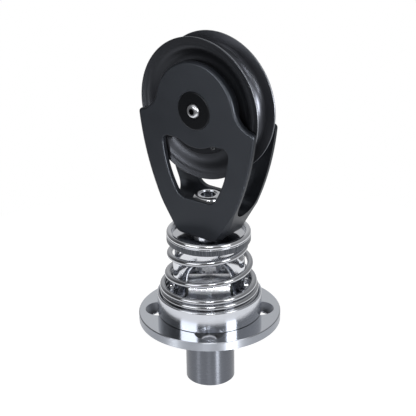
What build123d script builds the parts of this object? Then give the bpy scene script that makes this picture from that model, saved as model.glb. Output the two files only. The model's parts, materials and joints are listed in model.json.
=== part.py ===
# Stand-up sheave block on a sprung deck base.
# Millimetres. Origin: centre of the flange's underside, on the deck post's axis. +Z up,
# the toggle pin lies along X. At rest the block head stands turned clockwise about +Z.
from build123d import *
from math import acos, atan2, cos, degrees, hypot, pi, radians, sin, sqrt, tan
import os

os.makedirs("parts", exist_ok=True)

# Fits and small breaks
running_gap = 0.05
snug_gap = 0.02
edge_break = 0.8

# Deck flange, its bolts and the post that goes through the deck
flange_radius = 72.2
flange_thickness = 9.0
bolt_circle_radius = 51.0
bolt_count = 4
bolt_hole_radius = 7.5
bolt_head_radius = 14.7
bolt_head_angle = 90.0
post_radius = 25.0
post_below_deck = 68.0
post_collar_radius = 29.0
post_collar_height = 3.5
post_shoulder_height = 5.0

# Spring cup on the flange
cup_height = 22.0
cup_wall = 2.8
cup_spring_gap = 0.3
cup_floor = 3.0
cup_ledge_overlap = 1.0
cup_ledge_height = 15.7

# Toggle: lug on the post, fork over it, pin through both
pin_radius = 8.0
pin_height = 34.0
pin_head_radius = 9.0
pin_head_height = 5.2
pin_dome = 2.2
pin_socket_flats = 8.0
lug_side_gap = 0.5
lug_round = 13.0
bush_wall = 2.0
fork_gap = 42.4
fork_width = 72.0
fork_depth = 25.0
fork_top = 88.0
fork_top_flat = 24.0
fork_crown = 22.0
fork_hub_radius = 17.0
fork_edge_round = 6.5
keeper_radius = 4.0
keeper_depth = 16.0

# Upper spring ring
ring_radius = 42.25
ring_height = 11.7
ring_skirt = 3.0
ring_skirt_overlap = 0.7
ring_bead = 2.9
ring_groove = 0.7
ring_web = 2.2
ring_spring_gap = 0.25
ring_hub_radius = 20.0
ring_hub_height = 6.2

# Spring: radii are of the wire's centre line, turns count up from the front of the cup
wire_radius = 3.0
coil_gap = 0.15
spring_fork_gap = 2.4
spring_flare = 5.6
spring_first_turn = -1.45
spring_last_turn = 4.25

# Swivel through the neck of the block frame
swivel_radius = 8.0
swivel_head_radius = 14.6
swivel_head_height = 8.0
swivel_head_dome = 3.0
swivel_lead_in_radius = 9.3
swivel_socket_flats = 14.0
swivel_socket_depth = 6.0
swivel_head_gap = 0.45
thrust_washer_radius = 17.5
thrust_washer_thickness = 2.3
neck_bush_wall = 2.5
neck_bush_flange = 2.5
neck_bush_flange_radius = 13.6
neck_bush_gap = 0.2
neck_bush_recess = 0.5
head_washer_thickness = 3.0
nut_flats = 24.0
nut_height = 9.0
nut_side_gap = 2.0
castle_height = 4.5
castle_radius = 10.8
nut_seat_depth = 0.5
split_pin_radius = 1.5
split_pin_eye = 1.9
split_pin_tail = 4.0

# Block frame
head_turn = 36.7
cheek_thickness = 5.25
sheave_side_gap = 0.75
sheave_foot_gap = 21.5
neck_thickness = 27.0
lobe_radius = 47.5
shoulder_half_width = 69.0
shoulder_below_axle = 10.0
shoulder_round = 4.0
shoulder_cove = 25.5
flank_round = 270.0
foot_round = 16.0
foot_half_width = 33.5
turned_foot_radius = 29.6
turned_foot_slope = 29.4
turned_foot_round = 9.0
frame_edge_round = 2.4
window_edge_round = 1.4
window_lobe_radius = 37.7
window_top_below_axle = 31.7
window_corner_round = 6.3
window_half_width = 39.3
window_flank_round = 110.0
window_foot_round = 14.5
window_foot_centre = 12.3
window_sill = 39.5
window_cove = 5.0

# Sheave and its bearing
sheave_radius = 70.0
sheave_width = 29.0
line_groove_radius = 10.6
line_groove_depth = 16.0
rim_land = 1.7
rim_wall = 3.0
hub_width = 17.0
wall_cove = 15.0
axle_radius = 16.0
axle_spigot_radius = 14.9
roller_radius = 3.0
roller_count = 14
roller_length = 15.6
roller_gap = 0.08
ball_radius = 3.0
ball_circle_radius = 26.4
ball_count = 12
ball_standout = 1.7
ball_gap = 0.3
race_radius = 29.8
retainer_across = 0.6122
retainer_thickness = 5.7
retainer_chamfer = 1.3
retainer_gap = 0.5
retainer_screw_across = 0.593
retainer_screw_count = 6
retainer_screw_start = -64.0
retainer_screw_radius = 1.5
retainer_screw_head_radius = 2.8
retainer_screw_head_height = 2.0
retainer_screw_length = 9.0
cap_radius = 18.9
cap_recess = 3.0
cap_standout = 1.0
cap_edge_round = 1.2
cap_screw_radius = 4.0
cap_screw_head_radius = 7.15
cap_screw_head_height = 4.2
cap_screw_recess = 1.5
cap_screw_flats = 5.0
cap_screw_socket_depth = 2.4
cap_screw_length = 14.0

# Widths that follow from the sizes above
lug_width = fork_gap - 2 * lug_side_gap
fork_shoulder_round = (fork_width - fork_top_flat) / 2
spring_waist_radius = fork_width / 2 + spring_fork_gap + wire_radius
spring_seat_radius = spring_waist_radius + spring_flare
spring_top_radius = ring_radius - ring_skirt - ring_spring_gap - wire_radius
cup_radius = spring_seat_radius + wire_radius + cup_spring_gap + cup_wall
cup_ledge_radius = spring_seat_radius - wire_radius - cup_ledge_overlap
slot_width = sheave_width + 2 * sheave_side_gap
frame_thickness = slot_width + 2 * cheek_thickness

# Heights that follow from the sizes above
flange_top = flange_thickness
cup_top = flange_top + cup_height
spring_seat = flange_top + cup_ledge_height
fork_arch_height = fork_top - fork_crown
nut_seat = fork_arch_height + nut_seat_depth
ring_bottom = fork_top - ring_skirt_overlap
ring_top = ring_bottom + ring_height
ring_floor = fork_top + ring_hub_height
spring_ceiling = ring_floor - ring_web
frame_bottom = ring_floor + thrust_washer_thickness
slot_floor = frame_bottom + neck_thickness
bush_seat = slot_floor - neck_bush_recess
washer_seat = bush_seat + neck_bush_flange
head_seat = washer_seat + head_washer_thickness
head_top = head_seat + swivel_head_height
axle_height = head_top + sheave_foot_gap + sheave_radius
slot_below_axle = axle_height - slot_floor
frame_below_axle = axle_height - frame_bottom
window_below_axle = frame_below_axle - window_sill


def circles_meet(p, p_radius, q, q_radius, side):
    """Point at p_radius from p and q_radius from q, left of p to q for side 1, right for -1."""
    span = hypot(q[0] - p[0], q[1] - p[1])
    along = (span**2 + p_radius**2 - q_radius**2) / (2 * span)
    across = side * sqrt(p_radius**2 - along**2)
    ux, uy = (q[0] - p[0]) / span, (q[1] - p[1]) / span
    return (p[0] + along * ux - across * uy, p[1] + along * uy + across * ux)


def towards(p, q, distance):
    """Point at the given distance from p on the way to q."""
    span = hypot(q[0] - p[0], q[1] - p[1])
    return (p[0] + (q[0] - p[0]) * distance / span, p[1] + (q[1] - p[1]) * distance / span)


def arc_about(centre, start, end):
    """Shorter arc about a centre from start to end, added to the current line."""
    radius = hypot(start[0] - centre[0], start[1] - centre[1])
    middle = ((start[0] + end[0]) / 2, (start[1] + end[1]) / 2)
    return ThreePointArc(start, towards(centre, middle, radius), end)


def head_plane(w=0.0):
    """Plane of the block head: x across the cheeks, y up, z out of the front cheek, w along z."""
    turn = radians(head_turn)
    return Plane(
        origin=(-sin(turn) * w, -cos(turn) * w, axle_height),
        x_dir=(cos(turn), -sin(turn), 0),
        z_dir=(-sin(turn), -cos(turn), 0),
    )


def axle_section():
    """Plane through the axle: x outward from the axle, y along the axle to the front cheek."""
    face = head_plane()
    return Plane(origin=face.origin, x_dir=(0, 0, 1), z_dir=face.x_dir)


axle_axis = Axis(head_plane().origin, head_plane().z_dir)


def frame_outline():
    """Outline of the block frame seen on a cheek: lobe, coves, shoulders, long flanks, foot."""
    corner = (shoulder_half_width - shoulder_round, -shoulder_below_axle - shoulder_round)
    foot = (foot_half_width - foot_round, foot_round - frame_below_axle)
    cove = circles_meet(
        (0, 0), lobe_radius + shoulder_cove, corner, shoulder_round + shoulder_cove, 1
    )
    flank = circles_meet(corner, flank_round - shoulder_round, foot, flank_round - foot_round, -1)
    lobe_end = towards((0, 0), cove, lobe_radius)
    corner_start = towards(corner, cove, shoulder_round)
    corner_end = towards(flank, corner, flank_round)
    foot_start = towards(flank, foot, flank_round)
    foot_end = (foot[0], -frame_below_axle)
    with BuildLine() as outline:
        arc_about((0, 0), (0, lobe_radius), lobe_end)
        arc_about(cove, lobe_end, corner_start)
        arc_about(corner, corner_start, corner_end)
        arc_about(flank, corner_end, foot_start)
        arc_about(foot, foot_start, foot_end)
        Line(foot_end, (0, -frame_below_axle))
        mirror(about=Plane.YZ)
    return outline.line


def window_outline():
    """Window through both cheeks: its top follows the lobe, its flanks taper to a round foot."""
    corner = (window_half_width - window_corner_round, -window_top_below_axle - window_corner_round)
    foot = (window_foot_centre, window_foot_round - window_below_axle)
    cove_depth = window_top_below_axle + window_cove
    cove_reach = sqrt((window_lobe_radius + window_cove) ** 2 - cove_depth**2)
    cove = (cove_reach, -cove_depth)
    flank = circles_meet(
        corner, window_flank_round - window_corner_round, foot, window_flank_round - window_foot_round, -1
    )
    lobe_end = towards((0, 0), cove, window_lobe_radius)
    cove_end = (cove[0], -window_top_below_axle)
    corner_start = (corner[0], -window_top_below_axle)
    corner_end = towards(flank, corner, window_flank_round)
    foot_start = towards(flank, foot, window_flank_round)
    foot_end = (foot[0], -window_below_axle)
    with BuildLine() as outline:
        arc_about((0, 0), (0, -window_lobe_radius), lobe_end)
        arc_about(cove, lobe_end, cove_end)
        Line(cove_end, corner_start)
        arc_about(corner, corner_start, corner_end)
        arc_about(flank, corner_end, foot_start)
        arc_about(foot, foot_start, foot_end)
        Line(foot_end, (0, -window_below_axle))
        mirror(about=Plane.YZ)
    return outline.line


def save(part, name):
    part.label = name
    export_step(part, f"parts/{name}.step")


# Deck flange: turned disc with countersunk deck bolts and a recess for the post's collar
with BuildPart() as base_flange:
    with BuildSketch():
        Circle(flange_radius)
    extrude(amount=flange_thickness)
    chamfer(base_flange.edges().filter_by(GeomType.CIRCLE).group_by(Axis.Z)[-1], edge_break)
    with BuildSketch():
        Circle(post_radius + snug_gap)
    extrude(amount=flange_thickness, mode=Mode.SUBTRACT)
    with BuildSketch():
        Circle(post_collar_radius + snug_gap)
    extrude(amount=post_collar_height, mode=Mode.SUBTRACT)
    with Locations((0, 0, flange_top)):
        with PolarLocations(bolt_circle_radius, bolt_count):
            CounterSinkHole(
                bolt_hole_radius, bolt_head_radius, flange_thickness, counter_sink_angle=bolt_head_angle
            )
save(base_flange.part, "base_flange")

# Deck post: turned bar with a collar under the flange and the toggle lug milled on its top
lug_bore_radius = pin_radius + running_gap + bush_wall
post_top = flange_top + cup_floor + post_shoulder_height
with BuildPart() as deck_post:
    with BuildSketch(Plane.XY.offset(-post_below_deck)):
        Circle(post_radius)
    extrude(amount=post_below_deck + post_top)
    chamfer(deck_post.edges().filter_by(GeomType.CIRCLE), edge_break)
    with BuildSketch():
        Circle(post_collar_radius)
    extrude(amount=post_collar_height)
    with BuildSketch(Plane.YZ.offset(-lug_width / 2)):
        with Locations((0, pin_height)):
            Circle(lug_round)
        with Locations((0, (pin_height + post_top) / 2)):
            Rectangle(2 * lug_round, pin_height - post_top + 2 * edge_break)
    extrude(amount=lug_width)
    with BuildSketch(Plane.YZ.offset(-lug_width / 2)):
        with Locations((0, pin_height)):
            Circle(lug_bore_radius)
    extrude(amount=lug_width, mode=Mode.SUBTRACT)
save(deck_post.part, "deck_post")

# Bush in the lug
with BuildPart() as lug_bush:
    with BuildSketch(Plane.YZ.offset(-lug_width / 2)):
        with Locations((0, pin_height)):
            Circle(lug_bore_radius - snug_gap)
            Circle(pin_radius + running_gap, mode=Mode.SUBTRACT)
    extrude(amount=lug_width)
save(lug_bush.part, "lug_bush")

# Spring cup: turned bowl that stands on the flange round the post, with a ledge for the spring
with BuildPart() as spring_cup:
    with BuildSketch(Plane.XZ):
        with BuildLine():
            Polyline(
                (post_radius + snug_gap, flange_top),
                (cup_radius, flange_top),
                (cup_radius, cup_top - cup_wall / 2),
            )
            ThreePointArc(
                (cup_radius, cup_top - cup_wall / 2),
                (cup_radius - cup_wall / 2, cup_top),
                (cup_radius - cup_wall, cup_top - cup_wall / 2),
            )
            Polyline(
                (cup_radius - cup_wall, cup_top - cup_wall / 2),
                (cup_radius - cup_wall, spring_seat),
                (cup_ledge_radius, spring_seat),
                (cup_ledge_radius, flange_top + cup_floor),
                (post_radius + snug_gap, flange_top + cup_floor),
                (post_radius + snug_gap, flange_top),
            )
        make_face()
    revolve(axis=Axis.Z)
save(spring_cup.part, "spring_cup")

# Toggle fork: one forged piece, an arch whose two legs straddle the lug, with a turned hub
leg_foot = pin_height - fork_depth / 2
arch_round = fork_gap / 2
with BuildPart() as toggle_fork:
    with BuildSketch(Plane.XZ.offset(-fork_depth / 2)) as arch:
        with Locations((0, (fork_top + leg_foot) / 2)):
            Rectangle(fork_width, fork_top - leg_foot)
        fillet(arch.vertices().group_by(Axis.Y)[-1], fork_shoulder_round)
        with Locations((0, fork_arch_height - arch_round)):
            Circle(arch_round, mode=Mode.SUBTRACT)
        with Locations((0, (fork_arch_height - arch_round + leg_foot - edge_break) / 2)):
            Rectangle(fork_gap, fork_arch_height - arch_round - leg_foot + edge_break, mode=Mode.SUBTRACT)
    extrude(amount=fork_depth)
    with BuildSketch(Plane.YZ.offset(-fork_width / 2)):
        with Locations((0, pin_height)):
            Circle(fork_depth / 2)
        with Locations((0, (pin_height + fork_top) / 2)):
            Rectangle(fork_depth, fork_top - pin_height)
    extrude(amount=fork_width, mode=Mode.INTERSECT)
    along_pin = toggle_fork.edges().filter_by(Axis.X)
    tangent_lines = along_pin.filter_by_position(Axis.Z, pin_height - edge_break, pin_height + edge_break)
    leg_thickness = (fork_width - fork_gap) / 2
    fillet(toggle_fork.edges() - tangent_lines, min(fork_edge_round, 0.45 * leg_thickness))
    with BuildSketch(Plane.XY.offset(fork_arch_height)):
        Circle(fork_hub_radius)
    extrude(amount=fork_top - fork_arch_height)
    with BuildSketch(Plane.XY.offset(pin_height)):
        Circle(nut_flats / 2 + nut_side_gap)
    extrude(amount=nut_seat - pin_height, mode=Mode.SUBTRACT)
    with BuildSketch(Plane.XY.offset(pin_height)):
        Circle(swivel_radius + running_gap)
    extrude(amount=fork_top - pin_height, mode=Mode.SUBTRACT)
    with BuildSketch(Plane.YZ.offset(-fork_width / 2)):
        with Locations((0, pin_height)):
            Circle(pin_radius + snug_gap)
    extrude(amount=fork_width, mode=Mode.SUBTRACT)
save(toggle_fork.part, "toggle_fork")


def domed_head(base, direction):
    """Half outline of a pin's domed head, from its middle to its seat, on the pin's axis."""
    end = base + direction * pin_head_height
    rim = (end - direction * pin_dome, pin_height + pin_head_radius)
    Bezier((end, pin_height), (end, rim[1] - pin_dome), rim)
    Line(rim, (base, rim[1]))
    return (end, pin_height), (base, rim[1])


# Toggle pin: domed head on the left, tapped on the right for its keeper
pin_axis = Axis((0, 0, pin_height), (1, 0, 0))
pin_end = fork_width / 2
with BuildPart() as toggle_pin:
    with BuildSketch(Plane.XZ):
        with BuildLine():
            middle, seat = domed_head(-pin_end, -1)
            Polyline(
                seat,
                (-pin_end, pin_height + pin_radius),
                (pin_end, pin_height + pin_radius),
                (pin_end, pin_height + keeper_radius),
                (pin_end - keeper_depth, pin_height + keeper_radius),
                (pin_end - keeper_depth, pin_height),
                middle,
            )
        make_face()
    revolve(axis=pin_axis)
save(toggle_pin.part, "toggle_pin")

# Pin keeper: domed socket screw in the pin's right end
with BuildPart() as pin_keeper:
    with BuildSketch(Plane.XZ):
        with BuildLine():
            middle, seat = domed_head(pin_end, 1)
            Polyline(
                seat,
                (pin_end, pin_height + keeper_radius - snug_gap),
                (pin_end - keeper_depth + edge_break, pin_height + keeper_radius - snug_gap),
                (pin_end - keeper_depth + edge_break, pin_height),
                middle,
            )
        make_face()
    revolve(axis=pin_axis)
    with BuildSketch(Plane.YZ.offset(pin_end + pin_head_height)):
        with Locations((0, pin_height)):
            RegularPolygon(pin_socket_flats / 2, 6, major_radius=False)
    extrude(amount=-pin_head_height / 2, mode=Mode.SUBTRACT)
save(pin_keeper.part, "pin_keeper")

# Upper spring ring: turned ring with a beaded rim, a dished floor and a skirt over the spring
skirt_inside = ring_radius - ring_skirt
bead_middle = (ring_radius - ring_bead, ring_top - ring_bead)
bead_start = (
    bead_middle[0] + sqrt(ring_bead**2 - (2 * ring_groove) ** 2),
    bead_middle[1] - 2 * ring_groove,
)
with BuildPart() as spring_top_ring:
    with BuildSketch(Plane.XZ):
        with BuildLine():
            Polyline(
                (swivel_radius + running_gap, fork_top),
                (ring_hub_radius, fork_top),
                (ring_hub_radius, spring_ceiling),
                (skirt_inside, spring_ceiling),
                (skirt_inside, ring_bottom),
                (ring_radius - edge_break, ring_bottom),
                (ring_radius, ring_bottom + edge_break),
                (ring_radius, bead_start[1] - ring_groove),
                (bead_start[0] - ring_groove / 2, bead_start[1] - ring_groove / 2),
                bead_start,
            )
            ThreePointArc(
                bead_start,
                (bead_middle[0], ring_top),
                (bead_middle[0] - ring_bead, bead_middle[1]),
            )
            Polyline(
                (bead_middle[0] - ring_bead, bead_middle[1]),
                (bead_middle[0] - ring_bead, ring_floor),
                (swivel_radius + running_gap, ring_floor),
                (swivel_radius + running_gap, fork_top),
            )
        make_face()
    revolve(axis=Axis.Z)
save(spring_top_ring.part, "spring_top_ring")


def ease(x):
    """Smooth step from 0 to 1 as x goes from 0 to 1."""
    x = min(max(x, 0.0), 1.0)
    return x * x * (3 - 2 * x)


def ease_sum(turn, start, span):
    """Area under a smooth step that rises from start over span turns."""
    x = (turn - start) / span
    if x <= 0:
        return 0.0
    if x >= 1:
        return span * (x - 0.5)
    return span * (x**3 - x**4 / 2)


# Spring: tapered coil, closed at both ends, its bottom end ground flat
closed_pitch = 2 * wire_radius + coil_gap
bottom_coil = spring_seat + wire_radius + closed_pitch
top_coil = spring_ceiling - wire_radius - coil_gap
open_start, open_span = 0.9, 0.9
close_start, close_span = 2.8, 1.4
waist_start, waist_span = 0.8, 1.2
neck_start, neck_span = 2.2, 1.35
open_turns = ease_sum(spring_last_turn, open_start, open_span) - ease_sum(
    spring_last_turn, close_start, close_span
)
closed_turns = spring_last_turn - ease_sum(spring_last_turn, open_start, open_span)
open_pitch = (top_coil - bottom_coil - closed_pitch * closed_turns) / open_turns


def spring_point(turn):
    """Point of the wire's centre line after so many turns from the front of the cup."""
    opened = ease_sum(turn, open_start, open_span)
    height = bottom_coil + closed_pitch * (turn - opened)
    height += open_pitch * (opened - ease_sum(turn, close_start, close_span))
    radius = spring_seat_radius
    radius -= (spring_seat_radius - spring_waist_radius) * ease((turn - waist_start) / waist_span)
    radius -= (spring_waist_radius - spring_top_radius) * ease((turn - neck_start) / neck_span)
    angle = 2 * pi * turn - pi / 2
    return (radius * cos(angle), radius * sin(angle), height)


points_per_turn = 10
spring_steps = round((spring_last_turn - spring_first_turn) * points_per_turn)
turn_step = (spring_last_turn - spring_first_turn) / spring_steps
with BuildPart() as spring:
    with BuildLine() as coil:
        Spline(*[spring_point(spring_first_turn + turn_step * i) for i in range(spring_steps + 1)])
    with BuildSketch(Plane(origin=coil.line @ 0, z_dir=coil.line % 0)):
        Circle(wire_radius)
    sweep()
    with BuildSketch(Plane.XY.offset(spring_seat - 3 * wire_radius)):
        Circle(cup_radius)
    extrude(amount=3 * wire_radius, mode=Mode.SUBTRACT)
save(spring.part, "spring")

# Swivel bolt: holds the block frame down on the fork and lets it turn
bolt_end = nut_seat - nut_height - castle_height - 2 * edge_break
split_pin_height = nut_seat - nut_height - castle_height + split_pin_radius + 4 * running_gap
with BuildPart() as swivel_bolt:
    with BuildSketch(Plane.XZ):
        with BuildLine():
            Polyline(
                (0, bolt_end),
                (swivel_radius - edge_break, bolt_end),
                (swivel_radius, bolt_end + edge_break),
                (swivel_radius, head_seat),
                (swivel_head_radius, head_seat),
                (swivel_head_radius, head_top - swivel_head_dome),
            )
            Bezier(
                (swivel_head_radius, head_top - swivel_head_dome),
                (swivel_head_radius - edge_break, head_top),
                (swivel_head_radius - 1.5 * swivel_head_dome, head_top),
            )
            Line((swivel_head_radius - 1.5 * swivel_head_dome, head_top), (0, head_top))
            Line((0, head_top), (0, bolt_end))
        make_face()
    revolve(axis=Axis.Z)
    with BuildSketch(Plane.XY.offset(head_top)):
        Circle(swivel_lead_in_radius)
    extrude(amount=-edge_break, mode=Mode.SUBTRACT)
    with BuildSketch(Plane.XY.offset(head_top)):
        RegularPolygon(swivel_socket_flats / 2, 6, major_radius=False)
    extrude(amount=-swivel_socket_depth, mode=Mode.SUBTRACT)
    with BuildSketch(Plane.YZ.offset(-swivel_radius)):
        with Locations((0, split_pin_height)):
            Circle(split_pin_radius + snug_gap)
    extrude(amount=2 * swivel_radius, mode=Mode.SUBTRACT)
save(swivel_bolt.part, "swivel_bolt")

# Castle nut under the fork's arch
with BuildPart() as castle_nut:
    with BuildSketch(Plane.XY.offset(nut_seat)):
        RegularPolygon(nut_flats / 2, 6, major_radius=False)
    extrude(amount=-nut_height)
    with BuildSketch(Plane.XY.offset(nut_seat - nut_height)):
        Circle(castle_radius)
    extrude(amount=-castle_height)
    with BuildSketch(Plane.XY.offset(nut_seat - nut_height - castle_height)):
        with PolarLocations(castle_radius, 6):
            Rectangle(castle_radius, 2 * split_pin_radius + 2 * running_gap)
    extrude(amount=castle_height, mode=Mode.SUBTRACT)
    with BuildSketch(Plane.XY.offset(nut_seat)):
        Circle(swivel_radius + snug_gap)
    extrude(amount=-nut_height - castle_height, mode=Mode.SUBTRACT)
save(castle_nut.part, "castle_nut")

# Split pin through the nut's castle, eye on the right, legs spread on the left
pin_reach = castle_radius + split_pin_radius
eye_wire = 0.6 * split_pin_radius
eye_middle = castle_radius + split_pin_eye + eye_wire + running_gap
with BuildPart() as split_pin:
    with BuildSketch(Plane.YZ.offset(-pin_reach)):
        with Locations((0, split_pin_height)):
            Circle(split_pin_radius)
    extrude(amount=2 * pin_reach)
    with BuildSketch(Plane.XY.offset(split_pin_height)):
        with Locations((eye_middle + split_pin_eye, 0)):
            Circle(eye_wire)
    revolve(axis=Axis((eye_middle, 0, split_pin_height), (0, 1, 0)))
    with BuildSketch(Plane.XZ):
        with Locations((-pin_reach, split_pin_height)):
            Circle(0.8 * split_pin_radius)
    extrude(amount=split_pin_tail, both=True)
save(split_pin.part, "split_pin")

# Thrust washer between the ring's floor and the block frame
with BuildPart() as thrust_washer:
    with BuildSketch(Plane.XY.offset(ring_floor)):
        Circle(thrust_washer_radius)
        Circle(swivel_radius + running_gap, mode=Mode.SUBTRACT)
    extrude(amount=thrust_washer_thickness)
save(thrust_washer.part, "thrust_washer")

# Flanged bush in the frame's neck
neck_bush_radius = swivel_radius + running_gap + neck_bush_wall
with BuildPart() as neck_bush:
    with BuildSketch(Plane.XY.offset(frame_bottom + neck_bush_gap)):
        Circle(neck_bush_radius)
    extrude(amount=bush_seat - frame_bottom - neck_bush_gap)
    with BuildSketch(Plane.XY.offset(bush_seat)):
        Circle(neck_bush_flange_radius)
    extrude(amount=neck_bush_flange)
    with BuildSketch(Plane.XY.offset(frame_bottom)):
        Circle(swivel_radius + running_gap)
    extrude(amount=washer_seat - frame_bottom, mode=Mode.SUBTRACT)
save(neck_bush.part, "neck_bush")

# Washer under the swivel bolt's head
with BuildPart() as head_washer:
    with BuildSketch(Plane.XY.offset(washer_seat)):
        Circle(swivel_head_radius)
        Circle(swivel_radius + running_gap, mode=Mode.SUBTRACT)
    extrude(amount=head_washer_thickness)
save(head_washer.part, "head_washer")

# Block frame: one piece, two cheeks that join in a neck, its foot turned to stand in the ring
cheek = frame_thickness / 2
cap_seat = cheek - cap_recess
front = head_plane()


def on_cheek(edge):
    """True for an edge that lies in the outer face of either cheek."""
    return all(abs(abs(front.to_local_coords(edge @ t).Z) - cheek) < 0.01 for t in (0, 0.5, 1))


with BuildPart() as block_frame:
    with BuildSketch(head_plane(-cheek)):
        make_face(frame_outline().edges())
    extrude(amount=frame_thickness)
    fillet(block_frame.edges().filter_by(on_cheek), frame_edge_round)
    with BuildSketch(Plane.XZ) as turned_foot:
        cone_height = frame_below_axle + lobe_radius
        with BuildLine():
            Polyline(
                (0, frame_bottom),
                (turned_foot_radius, frame_bottom),
                (
                    turned_foot_radius + cone_height * tan(radians(turned_foot_slope)),
                    frame_bottom + cone_height,
                ),
                (0, frame_bottom + cone_height),
                close=True,
            )
        make_face()
        corner = turned_foot.vertices().sort_by_distance((turned_foot_radius, frame_bottom))[0]
        fillet(corner, turned_foot_round)
    revolve(axis=Axis.Z, mode=Mode.INTERSECT)
    with BuildSketch(head_plane(-cheek)):
        make_face(window_outline().edges())
    extrude(amount=frame_thickness, mode=Mode.SUBTRACT)
    fillet(block_frame.edges(Select.LAST).filter_by(on_cheek), window_edge_round)
    with BuildSketch(axle_section()):
        with Locations((slot_width / 2 - slot_below_axle, 0)):
            Circle(slot_width / 2)
        with Locations((slot_width / 2 - slot_below_axle, 0)):
            Rectangle(
                slot_below_axle + lobe_radius, slot_width, align=(Align.MIN, Align.CENTER)
            )
    extrude(amount=shoulder_half_width + edge_break, both=True, mode=Mode.SUBTRACT)
    with BuildSketch(Plane.XY.offset(bush_seat)):
        Circle(swivel_head_radius + swivel_head_gap)
    extrude(amount=slot_width / 2, mode=Mode.SUBTRACT)
    with BuildSketch(Plane.XY.offset(frame_bottom)):
        Circle(neck_bush_radius + snug_gap)
    extrude(amount=slot_floor - frame_bottom, mode=Mode.SUBTRACT)
    with BuildSketch(head_plane(-cheek)):
        Circle(axle_spigot_radius + snug_gap)
    extrude(amount=frame_thickness, mode=Mode.SUBTRACT)
    for side in (1, -1):
        with BuildSketch(head_plane(side * cheek)):
            Circle(cap_radius + 5 * snug_gap)
        extrude(amount=-side * cap_recess, mode=Mode.SUBTRACT)
save(block_frame.part, "block_frame")

# Axle through both cheeks, tapped at each end
axle_end = cap_seat - 5 * snug_gap
screw_seat = cheek + cap_standout - cap_screw_recess
with BuildPart() as axle:
    with BuildSketch(head_plane(-axle_end)):
        Circle(axle_spigot_radius)
    extrude(amount=2 * axle_end)
    for side in (1, -1):
        with BuildSketch(head_plane(side * axle_end)):
            Circle(cap_screw_radius + snug_gap)
        extrude(amount=side * (screw_seat - cap_screw_length - edge_break - axle_end), mode=Mode.SUBTRACT)
save(axle.part, "axle")

# Sleeve on the axle between the cheeks: the rollers' inner track
sleeve_end = slot_width / 2 - running_gap
with BuildPart() as axle_sleeve:
    with BuildSketch(head_plane(-sleeve_end)):
        Circle(axle_radius)
        Circle(axle_spigot_radius + snug_gap, mode=Mode.SUBTRACT)
    extrude(amount=2 * sleeve_end)
save(axle_sleeve.part, "axle_sleeve")

# Cap and button-head screw over each end of the axle
cap_face = cheek + cap_standout
for side, end in ((1, "front"), (-1, "rear")):
    with BuildPart() as axle_cap:
        with BuildSketch(head_plane(side * cap_seat)):
            Circle(cap_radius)
        extrude(amount=side * (cap_face - cap_seat))
        outer_edge = axle_cap.edges().sort_by(Axis(front.origin, side * front.z_dir))[-1]
        fillet(outer_edge, cap_edge_round)
        with BuildSketch(head_plane(side * cap_face)):
            Circle(cap_screw_head_radius + edge_break)
        extrude(amount=-side * cap_screw_recess, mode=Mode.SUBTRACT)
        with BuildSketch(head_plane(side * cap_seat)):
            Circle(cap_screw_radius + 5 * snug_gap)
        extrude(amount=side * (cap_face - cap_seat), mode=Mode.SUBTRACT)
    save(axle_cap.part, f"{end}_axle_cap")

    with BuildPart() as cap_screw:
        with BuildSketch(axle_section()):
            head_end = side * (screw_seat + cap_screw_head_height)
            neck = side * (screw_seat + edge_break)
            with BuildLine():
                Line((0, head_end), (pin_socket_flats / 2, head_end))
                Bezier(
                    (pin_socket_flats / 2, head_end),
                    (cap_screw_head_radius - edge_break, head_end),
                    (cap_screw_head_radius, neck),
                )
                Polyline(
                    (cap_screw_head_radius, neck),
                    (cap_screw_head_radius, side * screw_seat),
                    (cap_screw_radius, side * screw_seat),
                    (cap_screw_radius, side * (screw_seat - cap_screw_length)),
                    (0, side * (screw_seat - cap_screw_length)),
                    (0, head_end),
                )
            make_face()
        revolve(axis=axle_axis)
        with BuildSketch(head_plane(head_end)):
            RegularPolygon(cap_screw_flats / 2, 6, major_radius=False)
        extrude(amount=-side * cap_screw_socket_depth, mode=Mode.SUBTRACT)
    save(cap_screw.part, f"{end}_cap_screw")

# Sheave: deep round line groove, curved walls, plain hub
roller_circle_radius = axle_radius + roller_radius + roller_gap
bore_radius = roller_circle_radius + roller_radius + roller_gap
ball_height = hub_width / 2 + ball_standout
groove_middle = sheave_radius - line_groove_depth + line_groove_radius
wall_radius = line_groove_radius + rim_wall
rim_shoulder = sheave_radius - edge_break
rim_inner = sheave_width / 2 - rim_land - edge_break / 4
flank_reach = hypot(rim_shoulder - groove_middle, rim_inner)
flank_angle = atan2(rim_inner, rim_shoulder - groove_middle) + acos(line_groove_radius / flank_reach)
flank_start = (
    groove_middle + line_groove_radius * cos(flank_angle),
    line_groove_radius * sin(flank_angle),
)
wall_foot = groove_middle - sqrt(wall_radius**2 - (hub_width / 2) ** 2)
retainer_bore = race_radius + retainer_gap
retainer_radius = retainer_bore + retainer_across * (wall_foot - retainer_bore)
retainer_screw_circle = retainer_bore + retainer_screw_across * (retainer_radius - retainer_bore)
cove_room = 1.8 * (wall_foot - retainer_radius)


def retainer_screw_places():
    """Places of the retainer's screws round the axle."""
    return PolarLocations(retainer_screw_circle, retainer_screw_count, start_angle=retainer_screw_start)


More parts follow.
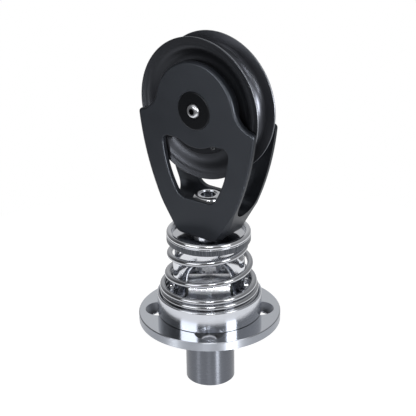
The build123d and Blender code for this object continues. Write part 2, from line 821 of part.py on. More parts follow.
with BuildPart() as sheave:
    with BuildSketch(axle_section()) as profile:
        with BuildLine():
            arc_about((groove_middle, 0), (groove_middle - line_groove_radius, 0), flank_start)
            Line(flank_start, (rim_shoulder, rim_inner))
            ThreePointArc(
                (rim_shoulder, rim_inner),
                (sheave_radius, (rim_inner + sheave_width / 2) / 2),
                (rim_shoulder, sheave_width / 2),
            )
            Line((rim_shoulder, sheave_width / 2), (groove_middle, wall_radius))
            arc_about((groove_middle, 0), (groove_middle, wall_radius), (wall_foot, hub_width / 2))
            Polyline((wall_foot, hub_width / 2), (bore_radius, hub_width / 2), (bore_radius, 0))
            mirror(about=Plane.XZ)
        make_face()
        for side in (1, -1):
            foot = profile.vertices().sort_by_distance((wall_foot, side * hub_width / 2))[0]
            fillet(foot, min(wall_cove, cove_room))
            with Locations((ball_circle_radius, side * ball_height)):
                Circle(ball_radius + running_gap, mode=Mode.SUBTRACT)
    revolve(axis=axle_axis)
    for side in (1, -1):
        with BuildSketch(head_plane(side * hub_width / 2)):
            with retainer_screw_places():
                Circle(retainer_screw_radius + snug_gap)
        extrude(amount=-side * retainer_screw_length, mode=Mode.SUBTRACT)
save(sheave.part, "sheave")

# Rollers and their cage
with BuildPart() as rollers:
    with BuildSketch(head_plane(-roller_length / 2)):
        with PolarLocations(roller_circle_radius, roller_count):
            Circle(roller_radius)
    extrude(amount=roller_length)
save(rollers.part, "rollers")

cage_half = hub_width / 2 - running_gap
with BuildPart() as roller_cage:
    with BuildSketch(head_plane(-cage_half)):
        Circle(roller_circle_radius + roller_radius / 2)
        Circle(roller_circle_radius - roller_radius / 2, mode=Mode.SUBTRACT)
    extrude(amount=2 * cage_half)
    with BuildSketch(head_plane(-roller_length / 2 - running_gap)):
        with PolarLocations(roller_circle_radius, roller_count):
            Circle(roller_radius + running_gap)
    extrude(amount=roller_length + 2 * running_gap, mode=Mode.SUBTRACT)
save(roller_cage.part, "roller_cage")

# Side bearings: race on the sleeve, balls in the hub, retainer screwed to the hub
race_face = ball_height + ball_standout
race_bore = axle_radius + snug_gap
for side, end in ((1, "front"), (-1, "rear")):
    with BuildPart() as race:
        with BuildSketch(axle_section()):
            with Locations(((race_bore + race_radius) / 2, side * (race_face + sleeve_end) / 2)):
                Rectangle(race_radius - race_bore, sleeve_end - race_face)
            with Locations((ball_circle_radius, side * ball_height)):
                Circle(ball_radius + ball_gap, mode=Mode.SUBTRACT)
        revolve(axis=axle_axis)
    save(race.part, f"{end}_race")

    with BuildPart() as balls:
        with Locations(head_plane(side * ball_height)):
            with PolarLocations(ball_circle_radius, ball_count):
                Sphere(ball_radius)
    save(balls.part, f"{end}_balls")

    with BuildPart() as retainer:
        with BuildSketch(head_plane(side * hub_width / 2)):
            Circle(retainer_radius)
            Circle(retainer_bore, mode=Mode.SUBTRACT)
            with retainer_screw_places():
                Circle(retainer_screw_radius + running_gap, mode=Mode.SUBTRACT)
        extrude(amount=side * retainer_thickness)
        outer_edges = retainer.edges().filter_by(GeomType.CIRCLE).sort_by(SortBy.RADIUS)[-2:]
        rim_edge = outer_edges.sort_by(Axis(front.origin, side * front.z_dir))[-1]
        chamfer(rim_edge, retainer_chamfer)
        with BuildSketch(head_plane(side * (hub_width / 2 + retainer_thickness))):
            with retainer_screw_places():
                Circle(retainer_screw_head_radius + running_gap)
        extrude(amount=-side * retainer_screw_head_height, mode=Mode.SUBTRACT)
    save(retainer.part, f"{end}_retainer")

    with BuildPart() as retainer_screws:
        screw_face = hub_width / 2 + retainer_thickness
        with BuildSketch(head_plane(side * screw_face)):
            with retainer_screw_places():
                Circle(retainer_screw_head_radius)
        extrude(amount=-side * retainer_screw_head_height)
        with BuildSketch(head_plane(side * screw_face)):
            with retainer_screw_places():
                Circle(retainer_screw_radius)
        extrude(amount=-side * retainer_screw_length)
        with BuildSketch(head_plane(side * screw_face)):
            with retainer_screw_places():
                RegularPolygon(retainer_screw_radius, 6)
        extrude(amount=-side * retainer_screw_head_height / 2, mode=Mode.SUBTRACT)
    save(retainer_screws.part, f"{end}_retainer_screws")
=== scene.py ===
"""Looks for a stand-up sheave block on a sprung deck base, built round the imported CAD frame.

Metres, +Z up, origin at the centre of the flange's underside. The block's head stands turned
clockwise by HEAD_TURN about +Z, and the toggle pin lies along X.
"""
import json
from math import cos, radians, sin

import bpy
import numpy as np
from mathutils import Matrix, Vector


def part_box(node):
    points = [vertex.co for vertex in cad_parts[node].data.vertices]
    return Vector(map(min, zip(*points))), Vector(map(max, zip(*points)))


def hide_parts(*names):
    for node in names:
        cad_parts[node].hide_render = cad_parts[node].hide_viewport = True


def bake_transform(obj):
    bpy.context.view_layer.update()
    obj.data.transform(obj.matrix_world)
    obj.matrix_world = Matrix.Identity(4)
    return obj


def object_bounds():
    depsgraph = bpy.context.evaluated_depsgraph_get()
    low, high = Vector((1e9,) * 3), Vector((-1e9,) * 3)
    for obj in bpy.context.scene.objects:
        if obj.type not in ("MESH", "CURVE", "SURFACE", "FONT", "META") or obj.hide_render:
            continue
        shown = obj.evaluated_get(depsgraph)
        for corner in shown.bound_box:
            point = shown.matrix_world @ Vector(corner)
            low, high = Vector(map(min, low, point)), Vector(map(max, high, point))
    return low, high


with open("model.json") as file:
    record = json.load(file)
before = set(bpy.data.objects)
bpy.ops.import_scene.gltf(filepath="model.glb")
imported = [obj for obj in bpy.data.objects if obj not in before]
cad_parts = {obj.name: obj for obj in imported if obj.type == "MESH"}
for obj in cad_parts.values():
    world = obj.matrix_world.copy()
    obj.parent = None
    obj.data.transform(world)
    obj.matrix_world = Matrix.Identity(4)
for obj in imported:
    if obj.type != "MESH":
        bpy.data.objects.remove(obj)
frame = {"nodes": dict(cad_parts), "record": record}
cad_nodes = frame["nodes"]
cad_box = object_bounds()

MM = 0.001
HEAD_TURN = radians(36.7)
AXLE_HEIGHT = 228 * MM
FLANGE_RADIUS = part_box("base_flange")[1][0]
FLANGE_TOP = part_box("base_flange")[1][2]

# An axis is its origin and its turn. The deck post's stands upright and the sheave's lies level
DECK_AXIS = ((0, 0, 0), (0, 0, 0))
AXLE_AXIS = ((0, 0, AXLE_HEIGHT), (radians(90), 0, -HEAD_TURN))


# Nodes, and the patterns that several finishes share. Tool lines, marks and grain are drawn
# coarser than the real ones where those would be too fine to show


def linear(hex_colour):
    """sRGB hex to linear RGBA."""
    parts = [int(hex_colour[i:i + 2], 16) / 255 for i in (1, 3, 5)]
    light = [c / 12.92 if c <= 0.04045 else ((c + 0.055) / 1.055)**2.4 for c in parts]
    return (*light, 1.0)


def add(tree, kind, *values, out=0, **named):
    """Adds a node and gives one of its outputs, by name or place, or all if out is None.

    Values fill the inputs in use in order. Lower-case names are settings of the node, and
    capitalised ones are inputs. A text on an input is a hex colour."""
    made = tree.nodes.new(f"ShaderNode{kind}")
    for key, value in named.items():
        if key.islower():
            setattr(made, key, value)
    inputs = list(zip([socket for socket in made.inputs if socket.enabled], values))
    inputs += [(made.inputs[k.replace("_", " ")], v) for k, v in named.items() if not k.islower()]
    for socket, value in inputs:
        if isinstance(value, bpy.types.NodeSocket):
            tree.links.new(value, socket)
        else:
            socket.default_value = linear(value) if isinstance(value, str) else value
    if out is None or isinstance(out, str):
        return made.outputs[out] if out else made.outputs
    return [socket for socket in made.outputs if socket.enabled][out]


def finish(name, colour, metallic, roughness, **fixed):
    """New material with a Principled shader; gives the material, its tree and the shader."""
    made = bpy.data.materials.new(name)
    made.use_nodes = True
    shader = made.node_tree.nodes["Principled BSDF"]
    shader.inputs["Base Color"].default_value = linear(colour)
    shader.inputs["Metallic"].default_value = metallic
    shader.inputs["Roughness"].default_value = roughness
    for key, value in fixed.items():
        shader.inputs[key.replace("_", " ")].default_value = value
    return made, made.node_tree, shader


def drive(shader, **sockets):
    """Links sockets to the shader's inputs by name."""
    for key, socket in sockets.items():
        shader.id_data.links.new(socket, shader.inputs[key.replace("_", " ")])


def turned_finish(name, colour, roughness, stretch):
    """Finish of a metal turned about Z, whose tool lines stretch highlights upright."""
    made, tree, shader = finish(
        name, colour, 1.0, roughness, Anisotropic=stretch, Anisotropic_Rotation=0.25
    )
    drive(shader, Tangent=add(tree, "Tangent", direction_type="RADIAL", axis="Z"))
    return made, tree, shader


def place(tree, axis):
    """Object coordinates x, y, z in the frame of an axis, with z along it."""
    origin, turn = axis
    coords = add(tree, "TexCoord", out="Object")
    mapped = add(
        tree, "Mapping", vector_type="TEXTURE", Vector=coords, Location=origin, Rotation=turn
    )
    return add(tree, "SeparateXYZ", mapped, out=None)


def hypotenuse(tree, one, other):
    """Root of the sum of two squares."""
    squares = [add(tree, "Math", side, side, operation="MULTIPLY") for side in (one, other)]
    return add(tree, "Math", add(tree, "Math", *squares, operation="ADD"), operation="SQRT")


def beyond(tree, axis, radius):
    """1 further than the radius from the axis, 0 nearer to it."""
    x, y, _ = place(tree, axis)
    return add(tree, "Math", hypotenuse(tree, x, y), radius, operation="GREATER_THAN")


def lower_than(tree, height):
    """1 below the height, 0 above it."""
    return add(tree, "Math", place(tree, DECK_AXIS)[2], height, operation="LESS_THAN")


def turned_lines(tree, axis, pitch, waver):
    """Height of fine tool lines that run round an axis.

    Noise read at (radius, height) over the line pitch, and hardly changing along the angle."""
    x, y, height = place(tree, axis)
    angle = add(tree, "Math", y, x, operation="ARCTAN2")
    point = add(
        tree, "CombineXYZ",
        add(tree, "Math", hypotenuse(tree, x, y), pitch, operation="DIVIDE"),
        add(tree, "Math", height, pitch, operation="DIVIDE"),
        add(tree, "Math", angle, waver, operation="MULTIPLY"),
    )
    return add(tree, "TexNoise", Vector=point, Scale=1.0, Detail=2.0)


def patches(tree, per_metre, detail):
    """Even noise all over a piece, with about so many patches to the metre."""
    coords = add(tree, "TexCoord", out="Object")
    return add(tree, "TexNoise", Vector=coords, Scale=per_metre, Detail=detail)


# Finishes


def polished_stainless():
    """Mirror-polished 316 stainless, turned then buffed: sharp reflections, faint buffing haze."""
    made, tree, shader = finish("polished_stainless", "#dfe1e6", 1.0, 0.06)
    lines = turned_lines(tree, DECK_AXIS, 0.5 * MM, 0.6)
    drive(
        shader,
        Roughness=add(tree, "MapRange", lines, To_Min=0.03, To_Max=0.10),
        Normal=add(tree, "Bump", Distance=0.0015 * MM, Height=lines),
    )
    return made


def forged_stainless():
    """Forged and buffed 316 stainless: bright, with the slow ripple that hand buffing leaves."""
    made, tree, shader = finish("buffed_forged_stainless", "#d3d5da", 1.0, 0.12)
    ripple = patches(tree, 120.0, 1.0)
    haze = patches(tree, 900.0, 3.0)
    drive(
        shader,
        Roughness=add(tree, "MapRange", haze, To_Min=0.08, To_Max=0.18),
        Normal=add(tree, "Bump", Distance=0.04 * MM, Height=ripple),
    )
    return made


def drawn_wire():
    """Electropolished drawn spring wire: bright, a little softer than the buffed parts.

    The draw marks are noise on the wire's own map, stretched along the wire."""
    made, tree, shader = finish("drawn_spring_wire", "#b7b9be", 1.0, 0.12)
    coords = add(tree, "TexCoord", out="UV")
    along = add(tree, "Mapping", Vector=coords, Scale=(6.0, 260.0, 1.0))
    draw = add(tree, "TexNoise", Vector=along, Scale=1.0, Detail=3.0)
    drive(
        shader,
        Roughness=add(tree, "MapRange", draw, To_Min=0.1, To_Max=0.2),
        Normal=add(tree, "Bump", Distance=0.001 * MM, Height=draw),
    )
    return made


def flange_stainless():
    """The flange: mirror-buffed face, bolt seats left as machined and painted darker as shade, and
    an edge left as turned.

    The edge is greyer, with tool lines that spread its light upright."""
    edge_width, seat_depth = 0.1 * MM, 0.15 * MM
    made, tree, shader = turned_finish("flange_stainless", "#d0d4db", 0.07, 0.85)
    edge = beyond(tree, DECK_AXIS, FLANGE_RADIUS - edge_width)
    seat = lower_than(tree, FLANGE_TOP - seat_depth)
    lines = turned_lines(tree, DECK_AXIS, 0.5 * MM, 0.6)
    # Painted shade: the bolt seats are coloured darker, as the shade in their holes; their rougher
    # finish is real
    face = add(tree, "Mix", seat, "#d0d4db", "#a4a7ae", data_type="RGBA")
    buffed = add(tree, "MapRange", lines, To_Min=0.04, To_Max=0.1)
    face_rough = add(tree, "Mix", seat, buffed, 0.32)
    depth = add(tree, "Mix", edge, 0.0015 * MM, 0.003 * MM)
    height = add(tree, "Math", lines, depth, operation="MULTIPLY")
    drive(
        shader,
        Base_Color=add(tree, "Mix", edge, face, "#9ea2aa", data_type="RGBA"),
        Roughness=add(tree, "Mix", edge, face_rough, 0.34),
        Normal=add(tree, "Bump", Distance=1.0, Height=height),
    )
    return made


def ring_stainless():
    """The upper ring: buffed bead and dish, and a band with fine upright marks all round it.

    The marks are noise read at the angle over their pitch, and stretched along the height."""
    band_radius, band_top, edge_width = 42.25 * MM, 93.6 * MM, 0.15 * MM
    mark_pitch, mark_length, mark_depth = 0.9 * MM, 12.5 * MM, 0.1 * MM
    made, tree, shader = finish("ring_stainless", "#dfe1e6", 1.0, 0.06)
    on_edge = beyond(tree, DECK_AXIS, band_radius - edge_width)
    band = add(tree, "Math", on_edge, lower_than(tree, band_top), operation="MULTIPLY")
    x, y, height = place(tree, DECK_AXIS)
    angle = add(tree, "Math", y, x, operation="ARCTAN2")
    point = add(
        tree, "CombineXYZ",
        add(tree, "Math", angle, band_radius / mark_pitch, operation="MULTIPLY"),
        add(tree, "Math", height, 1 / mark_length, operation="MULTIPLY"),
    )
    marks = add(tree, "TexNoise", Vector=point, Scale=1.0, Detail=2.0)
    crisp = add(tree, "MapRange", marks, From_Min=0.35, From_Max=0.65)
    band_colour = add(tree, "Mix", crisp, "#484b51", "#6f7278", data_type="RGBA")
    lines = turned_lines(tree, DECK_AXIS, 0.5 * MM, 0.6)
    rough_dish = add(tree, "MapRange", lines, To_Min=0.08, To_Max=0.18)
    rough_band = add(tree, "MapRange", marks, To_Min=0.3, To_Max=0.5)
    depth = add(tree, "Math", band, mark_depth, operation="MULTIPLY")
    relief = add(tree, "Math", marks, depth, operation="MULTIPLY")
    drive(
        shader,
        Base_Color=add(tree, "Mix", band, "#d2d4d9", band_colour, data_type="RGBA"),
        Roughness=add(tree, "Mix", band, rough_dish, rough_band),
        Normal=add(tree, "Bump", Distance=1.0, Height=relief),
    )
    return made


def cup_stainless():
    """The cup: turned, then buffed lightly, so fine lines round it still soften what it mirrors.

    A thin dark line is painted round its foot as the shade in the crease where it meets the
    flange."""
    foot_shade_height = 0.6 * MM
    made, tree, shader = turned_finish("cup_stainless", "#c9ccd3", 0.2, 0.7)
    lines = turned_lines(tree, DECK_AXIS, 0.8 * MM, 0.6)
    # Painted shade: below this height the cup is coloured dark, as the shaded crease at its foot
    painted_foot_shade = lower_than(tree, FLANGE_TOP + foot_shade_height)
    drive(
        shader,
        Base_Color=add(tree, "Mix", painted_foot_shade, "#c9ccd3", "#3c3e42", data_type="RGBA"),
        Roughness=add(tree, "MapRange", lines, To_Min=0.1, To_Max=0.24),
        Normal=add(tree, "Bump", Distance=0.002 * MM, Height=lines),
    )
    return made


def turned_stainless():
    """Fine-turned stainless, not buffed: its tool lines stretch the highlights upright.

    The post, below the deck, is painted greyer than what stands above it, as painted shade for the
    dim surroundings that it mirrors."""
    post_top = 1.0 * MM
    made, tree, shader = turned_finish("fine_turned_stainless", "#666970", 0.3, 0.9)
    # Painted shade: below the deck the turned steel is coloured a darker grey
    painted_post_shade = lower_than(tree, post_top)
    lines = turned_lines(tree, DECK_AXIS, 0.22 * MM, 0.4)
    drive(
        shader,
        Base_Color=add(tree, "Mix", painted_post_shade, "#dcdee3", "#666970", data_type="RGBA"),
        Roughness=add(tree, "MapRange", lines, To_Min=0.24, To_Max=0.32),
        Normal=add(tree, "Bump", Distance=0.002 * MM, Height=lines),
    )
    return made


def bearing_steel():
    """Ground bearing steel, hardened: bright grey with a fine even haze."""
    made, tree, shader = finish("ground_bearing_steel", "#b4b6bb", 1.0, 0.2)
    haze = patches(tree, 1200.0, 3.0)
    drive(shader, Roughness=add(tree, "MapRange", haze, To_Min=0.14, To_Max=0.28))
    return made


def screw_steel():
    """Machined stainless button head: bright satin face round a socket painted dark as its shade.
    """
    shaded_socket_radius = 3.0 * MM
    made, tree, shader = finish("machined_screw_steel", "#e2e4e9", 1.0, 0.3)
    # Painted shade: inside the socket's radius the head is coloured dark
    face = beyond(tree, AXLE_AXIS, shaded_socket_radius)
    lines = turned_lines(tree, AXLE_AXIS, 0.4 * MM, 0.3)
    drive(
        shader,
        Base_Color=add(tree, "Mix", face, "#34363a", "#e2e4e9", data_type="RGBA"),
        Roughness=add(tree, "MapRange", lines, To_Min=0.22, To_Max=0.38),
    )
    return made


def bolt_steel():
    """Buffed stainless bolt: bright head round a socket painted darker as its shade."""
    shaded_socket_radius = 7.6 * MM
    made, tree, shader = finish("buffed_bolt_steel", "#cfd1d6", 1.0, 0.2)
    # Painted shade: inside the socket's radius the head is coloured darker
    head = beyond(tree, DECK_AXIS, shaded_socket_radius)
    lines = turned_lines(tree, DECK_AXIS, 0.5 * MM, 0.6)
    drive(
        shader,
        Base_Color=add(tree, "Mix", head, "#83868c", "#cfd1d6", data_type="RGBA"),
        Roughness=add(tree, "MapRange", lines, To_Min=0.14, To_Max=0.28),
    )
    return made


def frame_anodising():
    """Milled aluminium, bead-blasted and anodised slate grey: even satin with a fine grain."""
    made, tree, shader = finish("slate_anodised_aluminium", "#2d3138", 0.6, 0.4)
    grain = patches(tree, 2500.0, 2.0)
    cloud = patches(tree, 60.0, 3.0)
    drive(
        shader,
        Roughness=add(tree, "MapRange", cloud, To_Min=0.36, To_Max=0.44),
        Normal=add(tree, "Bump", Strength=0.35, Distance=0.01 * MM, Height=grain),
    )
    return made


def sheave_anodising():
    """Turned aluminium, hard-anodised black: matt sides, a groove that the line has rubbed paler
    and a little smoother, and a thin grey line painted on the rims as their edge highlight.

    The groove is what lies nearer than its reach to the ring through the middles of its arcs.
    Outside that ring its flanks flare, by a share of how far out they are."""
    groove_middle, groove_reach, flare = 64.6 * MM, 12.1 * MM, 0.26
    rim_highlight_start, rim_highlight_end = 69.5 * MM, 69.9 * MM
    made, tree, shader = finish("black_hard_anodised_aluminium", "#2f3136", 0.75, 0.3)
    lines = turned_lines(tree, AXLE_AXIS, 0.5 * MM, 0.3)
    x, y, side = place(tree, AXLE_AXIS)
    radius = hypotenuse(tree, x, y)
    inward = add(tree, "Math", groove_middle, radius, operation="SUBTRACT")
    outward = add(tree, "Math", radius, groove_middle, operation="SUBTRACT")
    inside_ring = add(tree, "Math", inward, 0.0, operation="MAXIMUM")
    outside_ring = add(tree, "Math", outward, 0.0, operation="MAXIMUM")
    apart = hypotenuse(tree, side, inside_ring)
    reach = add(tree, "Math", outside_ring, flare, groove_reach, operation="MULTIPLY_ADD")
    groove = add(tree, "Math", apart, reach, operation="LESS_THAN")
    matt = add(tree, "MapRange", lines, To_Min=0.32, To_Max=0.42)
    rubbed = add(tree, "MapRange", lines, To_Min=0.3, To_Max=0.36)
    # Painted highlight: the outermost rim is coloured pale grey, as the light its edge catches
    painted_rim_highlight = add(tree, "MapRange", radius, From_Min=rim_highlight_start, From_Max=rim_highlight_end)
    anodised = add(tree, "Mix", groove, "#2f3136", "#43454b", data_type="RGBA")
    drive(
        shader,
        Base_Color=add(tree, "Mix", painted_rim_highlight, anodised, "#7d8086", data_type="RGBA"),
        Roughness=add(tree, "Mix", groove, matt, rubbed),
        Normal=add(tree, "Bump", Distance=0.0012 * MM, Height=lines),
    )
    return made


def cap_anodising():
    """Turned cap, satin black anodised: crisp edge, faint lines round the screw."""
    made, tree, shader = finish("satin_black_anodised_cap", "#26282c", 0.7, 0.34)
    lines = turned_lines(tree, AXLE_AXIS, 0.25 * MM, 0.3)
    drive(shader, Normal=add(tree, "Bump", Distance=0.004 * MM, Height=lines))
    return made


def bearing_plastic():
    """Moulded acetal: off-white, soft sheen."""
    made, tree, shader = finish("moulded_acetal", "#c9c6bd", 0.0, 0.45)
    grain = patches(tree, 1500.0, 2.0)
    drive(shader, Normal=add(tree, "Bump", Strength=0.3, Distance=0.01 * MM, Height=grain))
    return made


def give(material, *nodes):
    """Puts a material on CAD nodes, in place of any that they have."""
    for name in nodes:
        cad_nodes[name].data.materials.clear()
        cad_nodes[name].data.materials.append(material)


FINISHES = {
    "polished_stainless": polished_stainless(),
    "turned_stainless": turned_stainless(),
    "frame_anodised": frame_anodising(),
    "sheave_anodised": sheave_anodising(),
    "cap_anodised": cap_anodising(),
    "bearing_steel": bearing_steel(),
    "bearing_plastic": bearing_plastic(),
}
for entry in frame["record"]["subparts"]:
    give(FINISHES[entry["material_slot"]], entry["node"])

# Pieces whose finish differs from their slot's own
give(forged_stainless(), "toggle_fork")
give(flange_stainless(), "base_flange")
give(cup_stainless(), "spring_cup")
give(ring_stainless(), "spring_top_ring")
give(screw_steel(), "front_cap_screw", "rear_cap_screw")
give(bolt_steel(), "swivel_bolt")
give(FINISHES["bearing_steel"], "front_retainer_screws", "rear_retainer_screws")


# The spring, made here as its own mesh; on the real block it bends with the toggle


def rod_mesh(name, points):
    """Mesh of a rod over a grid of points [row, place round the row], its ends closed.

    Faces join each point to its neighbours in the row and in the next row, and each end row to
    its own middle."""
    rows, places = points.shape[:2]
    here = np.arange(rows * places).reshape(rows, places)
    ahead = np.roll(here, -1, axis=1)
    quads = np.stack([here[:-1], ahead[:-1], ahead[1:], here[1:]], -1).reshape(-1, 4)
    middles = points[[0, -1]].mean(axis=1)
    first, last = rows * places, rows * places + 1
    caps = [(first, b, a) for a, b in zip(here[0], ahead[0])]
    caps += [(last, a, b) for a, b in zip(here[-1], ahead[-1])]
    faces = quads.tolist() + caps
    mesh = bpy.data.meshes.new(name)
    mesh.from_pydata(np.vstack([points.reshape(-1, 3), middles]).tolist(), [], faces)
    mesh.polygons.foreach_set("use_smooth", [True] * len(faces))
    made = bpy.data.objects.new(name, mesh)
    bpy.context.scene.collection.objects.link(made)
    return made


def map_rod(mesh, path, places):
    """UV map of a rod: centimetres along its path, given in millimetres, and its share of the
    way round."""
    layer = mesh.uv_layers.new(name="wire")
    corner = np.empty(len(mesh.loops), int)
    mesh.loops.foreach_get("vertex_index", corner)
    row, place_in_row = np.divmod(np.minimum(corner, len(path) * places - 1), places)
    length = np.concatenate([[0], np.cumsum(np.linalg.norm(np.diff(path, axis=0), axis=1))])
    layer.uv.foreach_set("vector", np.stack([length[row] / 10, place_in_row / places], -1).ravel())


def ease(x):
    """Smooth step from 0 to 1 as x goes from 0 to 1."""
    x = np.clip(x, 0, 1)
    return x * x * (3 - 2 * x)


def ease_sum(turn, start, span):
    """Area under that step from start over span turns: x^3 - x^4 / 2, then straight on."""
    x = (turn - start) / span
    rising = np.clip(x, 0, 1)
    return span * (rising**3 - rising**4 / 2 + np.maximum(x - 1, 0))


def toggle_spring():
    """Tapered coil: a helix whose pitch opens and closes and whose radius eases in to the ring.

    Height is the closed pitch per turn plus the extra of the open turns. The wire's section lies
    in the plane of the outward direction and the normal of that and the path. Its foot is ground
    flat: no point of the wire is lower than the seat. Sizes are in millimetres, and the places
    where something starts, with how far it goes on, are in turns."""
    wire, seat, ring_seat, coil_gap, inset = 3.0, 24.7, 92.0, 0.15, 0.01
    foot_radius, waist_drop, neck_drop = 47.0, 5.6, 5.4
    waist_start, waist_span, neck_start, neck_span = 0.8, 1.2, 2.2, 1.35
    opening, closing = (0.9, 0.9), (2.8, 1.4)
    first, last = -1.45, 4.25
    rows, places = 600, 28

    closed = 2 * wire + coil_gap
    low, high = seat + wire + closed, ring_seat - wire - coil_gap
    opened_all = ease_sum(last, *opening)
    still_to_rise = high - low - closed * (last - opened_all)
    extra = still_to_rise / (opened_all - ease_sum(last, *closing))
    turn = np.linspace(first, last, rows)
    opened = ease_sum(turn, *opening)
    height = low + closed * (turn - opened) + extra * (opened - ease_sum(turn, *closing))
    waist = waist_drop * ease((turn - waist_start) / waist_span)
    radius = foot_radius - waist - neck_drop * ease((turn - neck_start) / neck_span)
    angle = 2 * np.pi * turn - np.pi / 2
    path = np.stack([radius * np.cos(angle), radius * np.sin(angle), height], -1)

    along = np.gradient(path, axis=0)
    along /= np.linalg.norm(along, axis=1)[:, None]
    outward = np.stack([np.cos(angle), np.sin(angle), 0 * angle], -1)
    outward -= (outward * along).sum(1)[:, None] * along
    outward /= np.linalg.norm(outward, axis=1)[:, None]
    upward = np.cross(along, outward)
    way_round = np.linspace(0, 2 * np.pi, places, endpoint=False)[None, :, None]
    section = np.cos(way_round) * outward[:, None] - np.sin(way_round) * upward[:, None]
    points = path[:, None] + (wire - inset) * section
    points[..., 2] = np.maximum(points[..., 2], seat)

    made = rod_mesh("toggle_spring", points * MM)
    map_rod(made.data, path, places)
    made.data.materials.append(drawn_wire())
    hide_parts("spring")
    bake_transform(made)


toggle_spring()


# Studio: a white floor and surround, two large soft boxes that light everything, and smaller
# lights and a room of greys that only gloss shows

FLOOR_REACH = 0.5
FLOOR_GLOW = 0.6
FLOOR_WHITE = 1.5
WORLD_LIGHT = 0.25
CEILING_GREY = 0.9
# Degrees round the object, 0 in front of it and growing to its right, with the room's grey there
ROOM_GREYS = [
    (-180, 0.65), (-150, 0.5), (-125, 0.2), (-90, 0.08), (-62, 0.06), (-20, 0.16), (35, 0.2),
    (75, 0.32), (140, 0.42), (160, 0.55), (180, 0.6),
]
# The strips light these alone, because so bright a light breaks up into spots on mirror finishes
SATIN_PIECES = ("base_flange", "deck_post", "sheave", "block_frame", "lug_bush")


def studio_floor():
    """Round pale floor at the post's lower end: mostly its own white, the rest lit, so it keeps
    a shadow. Its own white shows to the camera, in gloss and through glass, and lights nothing."""
    low, sides = cad_box[0][2], 96
    way_round = np.linspace(0, 2 * np.pi, sides, endpoint=False)
    rim = FLOOR_REACH * np.stack([np.cos(way_round), np.sin(way_round), 0 * way_round], -1)
    mesh = bpy.data.meshes.new("studio_floor")
    mesh.from_pydata((rim + [0, 0, low]).tolist(), [], [list(range(sides))])
    floor = bpy.data.objects.new("studio_floor", mesh)
    bpy.context.scene.collection.objects.link(floor)

    made, tree, shader = finish("studio_paper", "#f2f2f2", 0.0, 0.9)
    path = add(tree, "LightPath", out=None)
    mirrored = add(
        tree, "Math", path["Is Glossy Ray"], path["Is Transmission Ray"], operation="MAXIMUM"
    )
    seen = add(tree, "Math", path["Is Camera Ray"], mirrored, operation="MAXIMUM")
    share = add(tree, "Math", seen, FLOOR_GLOW, operation="MULTIPLY")
    glow = add(tree, "Emission", Color="#ffffff", Strength=FLOOR_WHITE)
    mixed = add(tree, "MixShader", share, shader.outputs[0], glow)
    tree.links.new(mixed, tree.nodes["Material Output"].inputs["Surface"])
    mesh.materials.append(made)


def room_grey(tree):
    """Grey of the room in a direction: one ramp round the horizon, easing to a ceiling overhead.

    The ramp runs from 0 behind the object through its left, its front at 0.5 and its right to
    1."""
    way = add(tree, "TexCoord", out="Generated")
    x, y, z = add(tree, "SeparateXYZ", way, out=None)
    ahead = add(tree, "Math", y, -1.0, operation="MULTIPLY")
    azimuth = add(tree, "Math", x, ahead, operation="ARCTAN2")
    share = add(tree, "Math", azimuth, 0.5 / radians(180), 0.5, operation="MULTIPLY_ADD")
    horizon = add(tree, "ValToRGB", share)
    stops = horizon.node.color_ramp.elements
    for degrees, _ in ROOM_GREYS[1:-1]:
        stops.new((degrees + 180) / 360)
    for stop, (_, grey) in zip(stops, ROOM_GREYS):
        stop.color = (grey, grey, grey, 1)
    up = add(tree, "MapRange", z, From_Min=0.7, From_Max=0.97)
    ceiling = (CEILING_GREY, CEILING_GREY, CEILING_GREY, 1)
    return add(tree, "Mix", up, horizon, ceiling, data_type="RGBA")


def studio_world():
    """White for the camera and through glass, the room's greys in gloss, a plain grey as light."""
    world = bpy.data.worlds.new("studio")
    bpy.context.scene.world = world
    world.use_nodes = True
    tree = world.node_tree
    tree.nodes.clear()
    path = add(tree, "LightPath", out=None)
    light = add(tree, "Background", Color="#ffffff", Strength=WORLD_LIGHT)
    room = add(tree, "Background", Color=room_grey(tree), Strength=1.0)
    white = add(tree, "Background", Color="#ffffff", Strength=1.0)
    mirrored = add(tree, "MixShader", path["Is Glossy Ray"], light, room)
    through = add(
        tree, "Math", path["Is Camera Ray"], path["Is Transmission Ray"], operation="MAXIMUM"
    )
    seen = add(tree, "MixShader", through, mirrored, white)
    add(tree, "OutputWorld", Surface=seen, out=None)


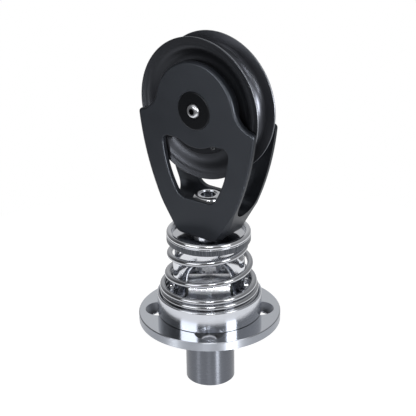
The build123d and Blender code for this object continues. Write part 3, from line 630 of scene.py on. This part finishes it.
def softbox(name, azimuth, elevation, width, height, level, lights_all=False, only=()):
    """Area light on a sphere round the object, facing it. Azimuth 0 is the camera's side.

    Its power is its level, the brightness of its face, times pi times its area. One that doesn't
    light all shows in gloss and adds no light to matt surfaces. If pieces are named in only, it
    lights no others."""
    aim, distance = Vector((0, 0, 0.12)), 1.6
    light = bpy.data.lights.new(name, "AREA")
    light.shape = "RECTANGLE"
    light.size, light.size_y = width, height
    light.energy = level * radians(180) * width * height
    holder = bpy.data.objects.new(name, light)
    bpy.context.scene.collection.objects.link(holder)
    a, e = radians(azimuth), radians(elevation)
    offset = Vector((sin(a) * cos(e), -cos(a) * cos(e), sin(e))) * distance
    holder.visible_diffuse = lights_all
    holder.location = aim + offset
    holder.rotation_euler = offset.to_track_quat("Z", "Y").to_euler()
    if only:
        lit = bpy.data.collections.new(f"lit_by_{name}")
        for node in only:
            lit.objects.link(cad_nodes[node])
        holder.light_linking.receiver_collection = lit


studio_world()
studio_floor()
softbox("soft_box_left", -46, 24, 1.0, 0.9, 2.5, lights_all=True)
softbox("soft_box_right", 49, 24, 0.56, 0.9, 4.5, lights_all=True)
softbox("strip_right", 33, 0, 0.32, 0.5, 65, only=SATIN_PIECES)
softbox("strip_left", -54, 3, 0.3, 0.5, 20, only=SATIN_PIECES)
softbox("soft_box_high", 2, 42, 0.4, 0.24, 14)
softbox("strip_front", -6, 15, 0.4, 0.1, 60, only=SATIN_PIECES)


def camera():
    """The photograph's camera, a long lens: its place is a target on the object, the direction
    from there and a distance, and its frame leans by the roll."""
    azimuth, elevation, roll = radians(-1.04), radians(23.52), radians(-0.77)
    target, distance = Vector((-0.00037, 0.00236, 0.11997)), 1.24723
    data = bpy.data.cameras.new("camera")
    data.lens = 108.95
    data.sensor_width = 36
    data.clip_end = 50
    holder = bpy.data.objects.new("camera", data)
    bpy.context.scene.collection.objects.link(holder)
    back = Vector((-sin(azimuth) * cos(elevation), -cos(azimuth) * cos(elevation), sin(elevation)))
    right = Vector((cos(azimuth), -sin(azimuth), 0))
    up = right.cross(-back)
    right_rolled = cos(roll) * right + sin(roll) * up
    up_rolled = -sin(roll) * right + cos(roll) * up
    turn = Matrix((right_rolled, up_rolled, back)).transposed().to_4x4()
    holder.matrix_world = Matrix.Translation(target + back * distance) @ turn
    bpy.context.scene.camera = holder


camera()
bpy.context.scene.view_settings.view_transform = "Standard"
